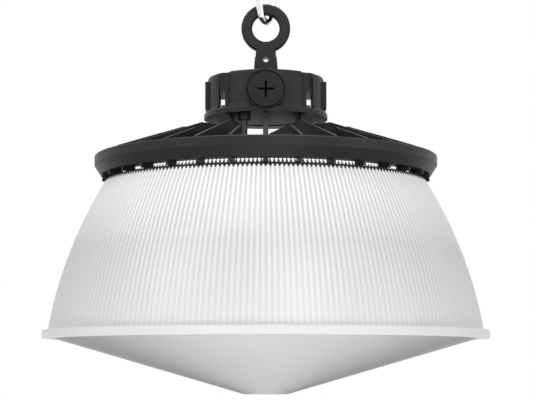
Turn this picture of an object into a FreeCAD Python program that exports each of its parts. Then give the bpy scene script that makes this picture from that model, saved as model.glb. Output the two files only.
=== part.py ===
import FreeCAD, Part
import math
import os
import Sketcher

# Round high bay light with a fluted bell refractor, hung from a pear link.
# Millimetres. Heights are levels above the tip of the drop lens; every
# sub-part is then lowered so that the origin is where the link is hung.

SIZES = [
    # drop lens and closing band
    ("tip_radius", 20.7, "flat tip of the cone"),
    ("cone_radius", 194.0, "cone where it meets the band"),
    ("cone_height", 50.5, "tip to underside of the band"),
    ("lens_wall", 2.5, "wall of the lens, measured upright"),
    ("lens_flange", 2.4, "thickness of the lens rim"),
    ("band_radius", 205.0, "outside of the closing band"),
    ("band_height", 7.5, "closing band"),
    ("band_wall", 1.2, "sheet of the closing band"),
    ("band_gap", 5.0, "opening of the band between its ears"),
    ("ear_reach", 9.0, "ears out from the band"),
    ("ear_thickness", 3.0, "each ear"),
    ("ear_screw_reach", 5.0, "ear screw out from the band"),
    ("ear_screw_spare", 2.0, "ear screw beyond its nut"),
    ("band_nut_height", 3.0, "nut of the ear screw"),
    ("seal_thickness", 0.9, "foam seal between lens and reflector"),
    ("seal_width", 3.0, "foam seal"),
    ("fit_gap", 0.3, "play between parts that drop into each other"),
    # reflector
    ("foot_radius", 199.5, "reflector at the band"),
    ("shoulder_radius", 147.6, "reflector at its shoulder"),
    ("reflector_height", 138.5, "band to shoulder"),
    ("bell_radius", 390.0, "curve of the bell"),
    ("bell_steps", 3, "straight steps along the bell"),
    ("reflector_wall", 2.6, "wall over the flutes' ridges"),
    ("flute_depth", 1.2, "groove between two ridges"),
    ("flute_count", 240, "flutes round the bell"),
    ("collar_radius", 138.2, "collar that enters the heat sink"),
    ("collar_play", 0.6, "collar short of the plate"),
    # heat sink
    ("toe_height", 4.1, "toes between rim and shoulder"),
    ("toe_width", 2.4, "toes round the rim"),
    ("toe_inset", 0.8, "toes short of the rim's bore and edge"),
    ("rim_foot_radius", 153.0, "rim at its lower edge"),
    ("rim_radius", 158.9, "rim at its widest"),
    ("rim_taper_height", 9.0, "sloped face of the rim"),
    ("rim_wall_height", 8.6, "upright face of the rim"),
    ("rim_inset", 0.9, "rim rounding at its top"),
    ("rim_wall", 4.0, "rim wall round the fins"),
    ("plate_rise", 6.4, "rim edge up to the plate"),
    ("plate_thickness", 5.0, "plate that carries the light board"),
    ("fin_count", 16, "long fins, and as many short ones"),
    ("fin_thickness", 2.2, "thin fins"),
    ("rib_thickness", 4.6, "four thick fins on the axes"),
    ("fin_reach", 156.2, "outer end of the fins"),
    ("long_fin_start", 76.0, "inner end of the long fins"),
    ("fin_peak", 82.0, "fins' top edge is level from here inwards"),
    ("short_fin_start", 112.0, "inner end of the short fins"),
    ("fin_slope", 0.33, "fall of the fins' top edge"),
    ("fin_rise", 0.9, "fins above the rim at their outer end"),
    ("leg_circle", 52.0, "legs and housing screws from the axis"),
    ("leg_width", 12.6, "square leg"),
    ("leg_height", 42.3, "plate to driver housing"),
    ("leg_chamfer", 1.6, "upright corners of the legs"),
    ("web_thickness", 2.5, "web from each leg to the middle"),
    ("web_drop", 5.4, "web below the leg's top"),
    ("web_fall", 12.8, "fall of the web's top edge"),
    ("web_end", 3.0, "web's end from the middle"),
    ("web_notch", 24.0, "end of the web that leaves room for the lead"),
    # light engine
    ("board_radius", 122.0, "light board"),
    ("board_thickness", 1.6, "light board"),
    ("chip_size", 5.0, "light chip"),
    ("chip_height", 0.8, "light chip"),
    ("chip_count", 18, "chips on the inner ring, twice as many outside"),
    ("chip_circle", 50.0, "inner ring of chips"),
    ("chip_circle_outer", 95.0, "outer ring of chips"),
    ("window_wall", 2.5, "clear window under the board"),
    ("window_drop", 6.0, "plate down to the window's face"),
    ("window_pan", 125.5, "sunk middle of the window"),
    ("window_gasket", 1.0, "gasket between window and plate"),
    ("window_screws", 8, "screws round the window"),
    ("window_screw_circle", 130.2, "screws round the window"),
    ("small_screw_radius", 1.5, "small screws"),
    ("small_head_radius", 2.8, "small screws, head"),
    ("small_head", 2.0, "small screws, head"),
    ("small_screw_bite", 4.0, "small screws in the part they hold to"),
    ("thread_play", 0.05, "screw in its hole"),
    ("hole_spare", 1.0, "blind holes deeper than their screws"),
    ("reflector_screws", 4, "screws from the shoulder into the toes"),
    # driver housing
    ("driver_floor_radius", 57.6, "flange of the driver housing"),
    ("driver_floor", 4.1, "floor of the driver housing"),
    ("driver_radius", 54.3, "upright panels of the housing"),
    ("driver_height", 35.0, "cover above the floor"),
    ("ledge_height", 4.7, "sloped ledge above the flange"),
    ("driver_rounding", 2.8, "top edge of the cover"),
    ("cavity_radius", 34.0, "room for the driver"),
    ("cavity_height", 28.0, "room for the driver"),
    ("groove_radius", 7.5, "upright grooves for the housing screws"),
    ("groove_circle", 55.5, "centre of the grooves from the axis"),
    ("slot_near", 37.4, "air slots: side nearest the axis"),
    ("slot_foot", 2.4, "air slots above the housing floor"),
    ("slot_width", 5.2, "air slots"),
    ("slot_height", 17.9, "air slots"),
    ("pad_reach", 56.3, "side pads from the axis"),
    ("pad_width", 26.0, "side pads"),
    ("pad_root", 4.0, "side pads inside the panels"),
    ("pad_height", 25.2, "side pads"),
    ("gasket_radius", 37.0, "housing gasket, middle"),
    ("gasket_width", 3.0, "housing gasket"),
    ("gasket_thickness", 1.0, "housing gasket"),
    ("tab_height", 7.0, "tabs under the housing floor"),
    ("tab_reach", 5.0, "tabs, towards the axis"),
    ("tab_edge", 54.4, "outer face of the tabs from the axis"),
    ("floor_step", 0.6, "sunk middle under the floor"),
    ("floor_step_radius", 38.0, "sunk middle under the floor"),
    ("housing_screw_radius", 2.5, "housing screws"),
    ("housing_screw_length", 18.0, "housing screws under the head"),
    ("housing_head_radius", 3.8, "housing screws, head"),
    ("housing_head", 2.2, "housing screws, head"),
    ("socket_radius", 2.3, "housing screws, hexagon socket"),
    ("socket_depth", 1.3, "housing screws, hexagon socket"),
    ("screw_seat", 1.4, "cover under the heads of the housing screws"),
    # sensor port
    ("port_rise", 15.6, "port centre above the housing floor"),
    ("port_boss_radius", 18.2, "boss round the port"),
    ("port_reach", 57.9, "face of the boss from the axis"),
    ("port_boss_depth", 12.0, "boss round the port"),
    ("port_radius", 12.0, "hole through the boss"),
    ("port_recess", 17.4, "recess for the plug's head"),
    ("port_recess_depth", 2.5, "recess for the plug's head"),
    ("plug_radius", 16.1, "plug's head"),
    ("plug_head", 2.5, "plug's head"),
    ("plug_neck", 7.0, "plug inside the hole"),
    ("plug_seal", 1.0, "seal under the plug's head"),
    ("cross_length", 15.0, "cross slot"),
    ("cross_width", 2.2, "cross slot"),
    ("cross_depth", 1.4, "cross slot"),
    # driver inside the housing
    ("driver_board_radius", 31.0, "driver board"),
    ("driver_board_rise", 4.0, "standoffs under the driver board"),
    ("standoff_radius", 2.5, "standoffs"),
    ("standoff_circle", 25.0, "standoffs from the axis"),
    ("standoff_count", 4, "standoffs under the driver board"),
    ("transformer_length", 22.0, "transformer"),
    ("transformer_width", 26.0, "transformer"),
    ("transformer_height", 12.0, "transformer"),
    ("transformer_gap", 2.0, "transformer from the axis"),
    ("capacitor_radius", 6.0, "capacitors"),
    ("capacitor_height", 18.0, "capacitors"),
    ("capacitor_x", 15.0, "capacitors sideways from the axis"),
    ("capacitor_y", 12.5, "capacitors to the front and back"),
    ("terminal_length", 8.0, "terminal block"),
    ("terminal_width", 18.0, "terminal block"),
    ("terminal_height", 9.0, "terminal block"),
    # cables
    ("cable_radius", 3.0, "lamp lead"),
    ("gland_x", -19.6, "lamp lead sideways"),
    ("gland_y", -43.0, "lamp lead to the front"),
    ("gland_radius", 5.0, "gland nut across its flats, halved"),
    ("gland_height", 6.6, "gland nut"),
    ("inlet_radius", 9.5, "mains gland across its flats, halved"),
    ("inlet_thread", 8.0, "mains gland thread"),
    ("inlet_bore", 3.75, "mains gland bore"),
    ("inlet_rise", 15.6, "mains gland above the housing floor"),
    ("inlet_seat", 55.0, "face for the mains gland"),
    ("inlet_flange", 5.0, "hexagon of the mains gland"),
    ("inlet_spigot", 9.0, "mains gland beyond its hexagon"),
    ("inlet_nut", 14.0, "mains gland nut"),
    ("inlet_wall", 1.6, "mains gland walls"),
    ("inlet_boss", 11.0, "boss behind the mains gland"),
    # hanging eye and link
    ("neck_width", 23.6, "neck at its foot"),
    ("neck_top_width", 20.4, "neck at its shoulder"),
    ("neck_height", 20.0, "neck from the cover to its shoulder"),
    ("neck_depth", 15.0, "neck from front to back"),
    ("neck_chamfer", 2.0, "upright corners of the neck"),
    ("tongue_width", 19.0, "tongue over the neck"),
    ("tongue_straight", 3.0, "tongue below its round top"),
    ("tongue_depth", 12.0, "tongue from front to back"),
    ("tether_radius", 2.75, "hole for a safety tether"),
    ("tether_rise", 17.3, "tether hole above the cover"),
    ("eye_rise", 47.6, "eye above the cover"),
    ("eye_radius", 22.95, "eye, outside"),
    ("eye_hole", 12.8, "eye, inside"),
    ("eye_thickness", 8.0, "eye from front to back"),
    ("eye_rounding", 1.5, "cut edges of the eye"),
    ("stud_radius", 5.0, "stud below the eye"),
    ("stud_length", 14.0, "stud below the eye"),
    ("nut_height", 6.0, "nut on the stud"),
    ("nut_radius", 8.5, "nut across its flats, halved"),
    ("washer_thickness", 1.5, "washer on the stud"),
    ("washer_radius", 10.0, "washer on the stud"),
    ("link_bar", 3.2, "link, radius of its bar"),
    ("link_foot_radius", 9.0, "link, lower bend"),
    ("link_head_radius", 18.0, "link, upper bend"),
    ("link_length", 34.0, "link, between the centres of its bends"),
    ("link_play", 2.9, "link's bar below the top of the eye hole"),
    ("link_turn", -34.0, "link turned about the upright axis"),
]

doc = FreeCAD.newDocument("HighBayLight")
sheet = doc.addObject("Spreadsheet::Sheet", "sizes")
for row, (alias, number, meaning) in enumerate(SIZES, start=1):
    sheet.set("A%d" % row, alias.replace("_", " "))
    sheet.set("B%d" % row, str(number))
    sheet.set("C%d" % row, meaning)
    sheet.setAlias("B%d" % row, alias)
doc.recompute()


def size(alias):
    return float(sheet.get(alias))


def total(*names):
    """Expression that adds named sizes."""
    return "(" + " + ".join("sizes." + name for name in names) + ")"


# levels above the lens tip, each stacked on the one before
BAND_FOOT = total("cone_height")
BAND_TOP = total("cone_height", "band_height")
SHOULDER = total("cone_height", "band_height", "reflector_height")
RIM_FOOT = total("cone_height", "band_height", "reflector_height", "toe_height")
PLATE_FOOT = RIM_FOOT + " + sizes.plate_rise"
PLATE_TOP = PLATE_FOOT + " + sizes.plate_thickness"
RIM_TOP = RIM_FOOT + " + sizes.rim_taper_height + sizes.rim_wall_height"
LEG_TOP = PLATE_TOP + " + sizes.leg_height"
FLOOR_TOP = LEG_TOP + " + sizes.driver_floor"
COVER_TOP = FLOOR_TOP + " + sizes.driver_height"
EYE = COVER_TOP + " + sizes.eye_rise"
LINK_FOOT = EYE + " + sizes.eye_hole - sizes.link_play - sizes.link_bar"
HANG = (LINK_FOOT + " + sizes.link_foot_radius + sizes.link_length"
        " + sizes.link_head_radius - sizes.link_bar")
SCREW_SEAT = FLOOR_TOP + " + sizes.screw_seat"
SLOT_FOOT = FLOOR_TOP + " + sizes.slot_foot"
PORT = FLOOR_TOP + " + sizes.port_rise"
INLET = FLOOR_TOP + " + sizes.inlet_rise"
CAVITY_TOP = FLOOR_TOP + " + sizes.cavity_height"


subparts = []


def keep(item, label):
    """Names a finished sub-part and lowers it to hang below the origin."""
    item.Label = label
    item.setExpression("Placement.Base.z", "-(" + HANG + ")")
    subparts.append(item)
    return item


# ---------------------------------------------------------------- sketching

def plane_of(body, role):
    for feature in body.Origin.OriginFeatures:
        if feature.Role == role:
            return feature
    raise ValueError(role)


def new_sketch(body, name, role, height=None, turn=None):
    sketch = body.newObject("Sketcher::SketchObject", name)
    sketch.AttachmentSupport = [(plane_of(body, role), "")]
    sketch.MapMode = "FlatFace"
    if turn is not None:
        upright = FreeCAD.Vector(0, 1, 0)
        sketch.AttachmentOffset = FreeCAD.Placement(
            FreeCAD.Vector(0, 0, 0), FreeCAD.Rotation(upright, turn))
    if height is not None:
        sketch.setExpression("AttachmentOffset.Base.z", height)
    return sketch


def bind(sketch, kind, geometry, point, expression, start):
    """Binds a point's distance from the origin to an expression."""
    if expression == "0":
        axis = -2 if kind == "DistanceX" else -1
        sketch.addConstraint(Sketcher.Constraint("PointOnObject", geometry, point, axis))
        return
    index = sketch.addConstraint(Sketcher.Constraint(kind, -1, 1, geometry, point, start))
    sketch.setExpression("Constraints[%d]" % index, expression)


def outline(body, name, role, corners, height=None, turn=None):
    """Closed outline of straight edges; each corner is a pair of expressions."""
    sketch = new_sketch(body, name, role, height, turn)
    count = len(corners)
    places = []
    for corner in corners:
        values = [0.0 if item == "0" else worth(sketch, item) for item in corner]
        places.append(FreeCAD.Vector(values[0], values[1], 0))
    for index in range(count):
        following = (index + 1) % count
        sketch.addGeometry(Part.LineSegment(places[index], places[following]))
    for index in range(count):
        following = (index + 1) % count
        sketch.addConstraint(Sketcher.Constraint("Coincident", index, 2, following, 1))
    for index, corner in enumerate(corners):
        bind(sketch, "DistanceX", index, 1, corner[0], places[index].x)
        bind(sketch, "DistanceY", index, 1, corner[1], places[index].y)
    return sketch


def worth(item, expression):
    """Present value of an expression."""
    result = item.evalExpression(expression)
    return float(getattr(result, "Value", result))


def circles(body, name, role, rounds, height=None):
    """Circles given as (x, y, radius) expressions."""
    sketch = new_sketch(body, name, role, height)
    for index, (across, along, radius) in enumerate(rounds):
        x = 0.0 if across == "0" else worth(sketch, across)
        y = 0.0 if along == "0" else worth(sketch, along)
        middle = FreeCAD.Vector(x, y, 0)
        reach = worth(sketch, radius)
        sketch.addGeometry(Part.Circle(middle, FreeCAD.Vector(0, 0, 1), reach))
        bind(sketch, "DistanceX", index, 3, across, x)
        bind(sketch, "DistanceY", index, 3, along, y)
        mark = sketch.addConstraint(Sketcher.Constraint("Radius", index, reach))
        sketch.setExpression("Constraints[%d]" % mark, radius)
    return sketch


# ----------------------------------------------------------------- features

def new_body(label):
    body = doc.addObject("PartDesign::Body", label)
    return keep(body, label)


def revolve(body, name, sketch):
    feature = body.newObject("PartDesign::Revolution", name)
    feature.Profile = sketch
    feature.ReferenceAxis = (sketch, ["V_Axis"])
    feature.Angle = 360
    return feature


def pad(body, name, sketch, length, both_ways=False, back=False):
    feature = body.newObject("PartDesign::Pad", name)
    feature.Profile = sketch
    feature.setExpression("Length", length)
    if both_ways:
        feature.SideType = "Symmetric"
    feature.Reversed = back
    return feature


def pocket(body, name, sketch, length, both_ways=False, back=False):
    feature = body.newObject("PartDesign::Pocket", name)
    feature.Profile = sketch
    feature.setExpression("Length", length)
    if both_ways:
        feature.SideType = "Symmetric"
    feature.Reversed = back
    return feature


def repeat(body, name, feature, count):
    """Copies a feature round the upright axis; count is a number or an expression."""
    pattern = body.newObject("PartDesign::PolarPattern", name)
    pattern.Originals = [feature]
    pattern.Axis = (plane_of(body, "Z_Axis"), [""])
    pattern.Angle = 360
    if isinstance(count, str):
        pattern.setExpression("Occurrences", count)
    else:
        pattern.Occurrences = count
    body.Tip = pattern
    return pattern


def cylinder(name, radius, height, x="0", y="0", z="0"):
    item = doc.addObject("Part::Cylinder", name)
    item.setExpression("Radius", radius)
    item.setExpression("Height", height)
    place(item, x, y, z)
    return item


def block(name, length, width, height, x="0", y="0", z="0"):
    item = doc.addObject("Part::Box", name)
    item.setExpression("Length", length)
    item.setExpression("Width", width)
    item.setExpression("Height", height)
    place(item, x, y, z)
    return item


def hexagon(name, flats, height, x="0", y="0", z="0"):
    """Six-sided prism; flats is half the width across its flats."""
    item = doc.addObject("Part::Prism", name)
    item.Polygon = 6
    item.setExpression("Circumradius", "(" + flats + ") / cos(30)")
    item.setExpression("Height", height)
    place(item, x, y, z)
    return item


def place(item, x, y, z):
    for axis, expression in (("x", x), ("y", y), ("z", z)):
        if expression != "0":
            item.setExpression("Placement.Base." + axis, expression)


def face_back(item):
    """Lays a solid that was drawn upright along +Y, about its own base point."""
    item.Placement.Rotation = FreeCAD.Rotation(FreeCAD.Vector(1, 0, 0), -90)


def joined(label, items):
    union = doc.addObject("Part::MultiFuse", label)
    union.Shapes = items
    return union


def less(label, base, tool):
    cut = doc.addObject("Part::Cut", label)
    cut.Base = base
    cut.Tool = tool
    return cut


def group(label, items):
    """Separate solids that share one node."""
    compound = doc.addObject("Part::Compound", label)
    compound.Links = items
    return keep(compound, label)


def round_the_axis(count, start=0.0):
    """Angles of items spread evenly round the upright axis."""
    return [start + 360.0 * index / count for index in range(count)]


def turned(radius, angle):
    """Expressions for a place on a circle; 0 degrees is +X."""
    across = "(%s) * cos(%.4f)" % (radius, angle)
    along = "(%s) * sin(%.4f)" % (radius, angle)
    return across, along


# ---------------------------------------------------------------- sub-parts

LENS_FOOT = BAND_FOOT + " + sizes.band_wall"
LENS_TOP = LENS_FOOT + " + sizes.lens_flange"
SEAL_TOP = LENS_TOP + " + sizes.seal_thickness"
REFLECTOR_FOOT_TOP = BAND_TOP + " - sizes.band_wall"
INSIDE_BAND = "sizes.band_radius - sizes.band_wall - sizes.fit_gap"
COLLAR_BORE = "sizes.collar_radius - sizes.reflector_wall"
HALF_GAP = "sizes.band_gap / 2"
EAR_SCREW = "sizes.band_radius + sizes.ear_screw_reach"
EAR_MIDDLE = BAND_FOOT + " + sizes.band_height / 2"


def make_lens():
    body = new_body("drop_lens")
    inner = ("sizes.tip_radius + (" + LENS_TOP + " - sizes.lens_wall)"
             " * (sizes.cone_radius - sizes.tip_radius) / sizes.cone_height")
    section = outline(body, "lens_section", "XZ_Plane", [
        ("0", "0"),
        ("sizes.tip_radius", "0"),
        ("sizes.cone_radius", BAND_FOOT),
        ("sizes.cone_radius", LENS_FOOT),
        (INSIDE_BAND, LENS_FOOT),
        (INSIDE_BAND, LENS_TOP),
        (inner, LENS_TOP),
        ("sizes.tip_radius", "sizes.lens_wall"),
        ("0", "sizes.lens_wall"),
    ])
    revolve(body, "lens_turned", section)


def make_band():
    body = new_body("closing_band")
    section = outline(body, "band_section", "XZ_Plane", [
        ("sizes.cone_radius + sizes.fit_gap", BAND_FOOT),
        ("sizes.band_radius", BAND_FOOT),
        ("sizes.band_radius", BAND_TOP),
        ("sizes.foot_radius + sizes.fit_gap", BAND_TOP),
        ("sizes.foot_radius + sizes.fit_gap", REFLECTOR_FOOT_TOP),
        ("sizes.band_radius - sizes.band_wall", REFLECTOR_FOOT_TOP),
        ("sizes.band_radius - sizes.band_wall", LENS_FOOT),
        ("sizes.cone_radius + sizes.fit_gap", LENS_FOOT),
    ])
    revolve(body, "band_rolled", section)
    split = outline(body, "split_outline", "XY_Plane", [
        ("-" + HALF_GAP, "sizes.cone_radius - sizes.hole_spare"),
        (HALF_GAP, "sizes.cone_radius - sizes.hole_spare"),
        (HALF_GAP, "sizes.band_radius + sizes.hole_spare"),
        ("-" + HALF_GAP, "sizes.band_radius + sizes.hole_spare"),
    ], BAND_FOOT)
    pocket(body, "split", split, "sizes.band_height", back=True)
    for side, sign in (("left", "-"), ("right", "")):
        near = sign + "(" + HALF_GAP + ")"
        far = sign + "(" + HALF_GAP + " + sizes.ear_thickness)"
        ear = outline(body, "ear_outline_" + side, "XY_Plane", [
            (near, "sizes.band_radius - sizes.band_wall"),
            (far, "sizes.band_radius - sizes.band_wall"),
            (far, "sizes.band_radius + sizes.ear_reach"),
            (near, "sizes.band_radius + sizes.ear_reach"),
        ], BAND_FOOT)
        pad(body, "ear_" + side, ear, "sizes.band_height")
    hole = circles(body, "ear_hole_outline", "YZ_Plane", [
        (EAR_SCREW, EAR_MIDDLE, "sizes.small_screw_radius + sizes.fit_gap")])
    pocket(body, "ear_hole", hole, "sizes.band_gap * 4", both_ways=True)


def along_x(item):
    """Lays a solid that was drawn upright along +X, about its own base point."""
    item.Placement.Rotation = FreeCAD.Rotation(FreeCAD.Vector(0, 1, 0), 90)


def make_band_screw():
    start = "-(" + HALF_GAP + " + sizes.ear_thickness"
    through = "sizes.band_gap + 2 * sizes.ear_thickness"
    head = cylinder("band_screw_head", "sizes.small_head_radius", "sizes.small_head",
                    start + " + sizes.small_head)", EAR_SCREW, EAR_MIDDLE)
    shank = cylinder("band_screw_shank", "sizes.small_screw_radius",
                     through + " + sizes.band_nut_height + sizes.ear_screw_spare",
                     start + ")", EAR_SCREW, EAR_MIDDLE)
    along_x(head)
    along_x(shank)
    keep(joined("band_screw", [head, shank]), "band_screw")
    nut = hexagon("band_nut_block", "sizes.small_head_radius", "sizes.band_nut_height",
                  HALF_GAP + " + sizes.ear_thickness", EAR_SCREW, EAR_MIDDLE)
    bore = cylinder("band_nut_bore", "sizes.small_screw_radius + sizes.thread_play",
                    "sizes.band_nut_height",
                    HALF_GAP + " + sizes.ear_thickness", EAR_SCREW, EAR_MIDDLE)
    along_x(nut)
    along_x(bore)
    keep(less("band_nut", nut, bore), "band_nut")


def ring(label, outer, inner, foot, height):
    """Flat ring; foot and height are expressions."""
    body = new_body(label)
    section = outline(body, label + "_section", "XZ_Plane", [
        (inner, foot),
        (outer, foot),
        (outer, foot + " + " + height),
        (inner, foot + " + " + height),
    ])
    revolve(body, label + "_turned", section)
    return body


def bell_curve(item, steps):
    """Points (radius, level) of the bell from its foot to its shoulder."""
    foot = (worth(item, "sizes.foot_radius"), worth(item, REFLECTOR_FOOT_TOP))
    top = (worth(item, "sizes.shoulder_radius"), worth(item, SHOULDER))
    bow = worth(item, "sizes.bell_radius")
    chord = math.hypot(top[0] - foot[0], top[1] - foot[1])
    lean = math.atan2(top[1] - foot[1], top[0] - foot[0])
    half = math.asin(chord / 2 / bow)
    middle = ((foot[0] + top[0]) / 2, (foot[1] + top[1]) / 2)
    inward = lean + math.pi / 2
    back = bow * math.cos(half)
    centre = (middle[0] + back * math.cos(inward), middle[1] + back * math.sin(inward))
    points = []
    for step in range(steps + 1):
        angle = inward + math.pi + half * (2.0 * step / steps - 1)
        points.append((centre[0] + bow * math.cos(angle), centre[1] + bow * math.sin(angle)))
    return points


def fluted_wire(radius, height, depth, count):
    """Zigzag ring: a ridge and a groove for each flute."""
    points = []
    for index in range(2 * count):
        reach = radius - depth * (index % 2)
        angle = math.pi * index / count
        points.append(FreeCAD.Vector(
            reach * math.cos(angle), reach * math.sin(angle), height))
    return Part.makePolygon(points + points[:1])


def round_wire(radius, height):
    return Part.Wire(Part.makeCircle(radius, FreeCAD.Vector(0, 0, height)))


def disc(radius, foot, top):
    return Part.makeCylinder(radius, top - foot, FreeCAD.Vector(0, 0, foot))


def make_reflector():
    """Bell of clear plastic, fluted outside, with a foot and a collar."""
    item = doc.addObject("Part::Feature", "reflector")
    curve = bell_curve(item, int(worth(item, "sizes.bell_steps")))
    wall = worth(item, "sizes.reflector_wall")
    depth = worth(item, "sizes.flute_depth")
    count = int(worth(item, "sizes.flute_count"))
    outside = Part.makeLoft(
        [fluted_wire(radius, height, depth, count) for radius, height in curve], True, True)
    collar = worth(item, "sizes.collar_radius")
    foot = worth(item, SEAL_TOP)
    foot_top = curve[0][1]
    shoulder = curve[-1][1]
    collar_top = worth(item, PLATE_FOOT) - worth(item, "sizes.collar_play")
    outside = outside.fuse([
        disc(worth(item, INSIDE_BAND), foot, foot_top),
        disc(collar, shoulder, collar_top)])
    inside_curve = [(radius - wall, height) for radius, height in curve]
    inside_curve[-1] = (inside_curve[-1][0], shoulder - wall)
    inside_curve.insert(0, (curve[0][0] - wall, foot))
    inside = Part.makeLoft(
        [round_wire(radius, height) for radius, height in inside_curve], True, True)
    tools = [inside, disc(collar - wall, shoulder - 2 * wall, collar_top)]
    circle = worth(item, TOE_CIRCLE)
    reach = worth(item, "sizes.small_screw_radius + sizes.fit_gap")
    for angle in round_the_axis(int(worth(item, "sizes.reflector_screws"))):
        around = math.radians(angle)
        under = FreeCAD.Vector(
            circle * math.cos(around), circle * math.sin(around), shoulder - 2 * wall)
        tools.append(Part.makeCylinder(reach, 3 * wall, under))
    shape = outside.cut(tools).Solids[0]
    item.Shape = shape
    keep(item, "reflector")


TOE_CIRCLE = ("(sizes.shoulder_radius - sizes.reflector_wall"
              " - sizes.small_head_radius - sizes.fit_gap)")
HALF_STEP = 180.0 / size("window_screws")
WINDOW_SCREW = turned("sizes.window_screw_circle", HALF_STEP)
FIN_FOOT = PLATE_TOP
FIN_END = RIM_TOP + " + sizes.fin_rise"


FIN_PEAK = FIN_END + " + sizes.fin_slope * (sizes.fin_reach - sizes.fin_peak)"


def long_outline(body, name, start, turn=None):
    """Fin that slopes up to the peak and runs on level to its start."""
    return outline(body, name, "XZ_Plane", [
        (start, FIN_FOOT),
        ("sizes.fin_reach", FIN_FOOT),
        ("sizes.fin_reach", FIN_END),
        ("sizes.fin_peak", FIN_PEAK),
        (start, FIN_PEAK),
    ], turn=turn)


def short_outline(body, name, start, turn=None):
    rise = " + sizes.fin_slope * (sizes.fin_reach - " + start + ")"
    return outline(body, name, "XZ_Plane", [
        (start, FIN_FOOT),
        ("sizes.fin_reach", FIN_FOOT),
        ("sizes.fin_reach", FIN_END),
        (start, FIN_END + rise),
    ], turn=turn)


def square(body, name, x, y, half, chamfer, height):
    """Square with cut corners, its middle at (x, y)."""
    near = "(" + half + " - " + chamfer + ")"
    corners = []
    for across, along in (
            (near, "-" + half), (half, "-" + near), (half, near), (near, half),
            ("-" + near, half), ("-" + half, near), ("-" + half, "-" + near),
            ("-" + near, "-" + half)):
        corners.append((x + " + " + across, y + " + " + along))
    return outline(body, name, "XY_Plane", corners, height)


LEG_PLACE = "sizes.leg_circle * cos(45)"
LEG_HALF = "sizes.leg_width / 2"
LEG_FACE = LEG_PLACE + " - " + LEG_HALF
WEB_TOP = LEG_TOP + " - sizes.web_drop"


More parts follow.
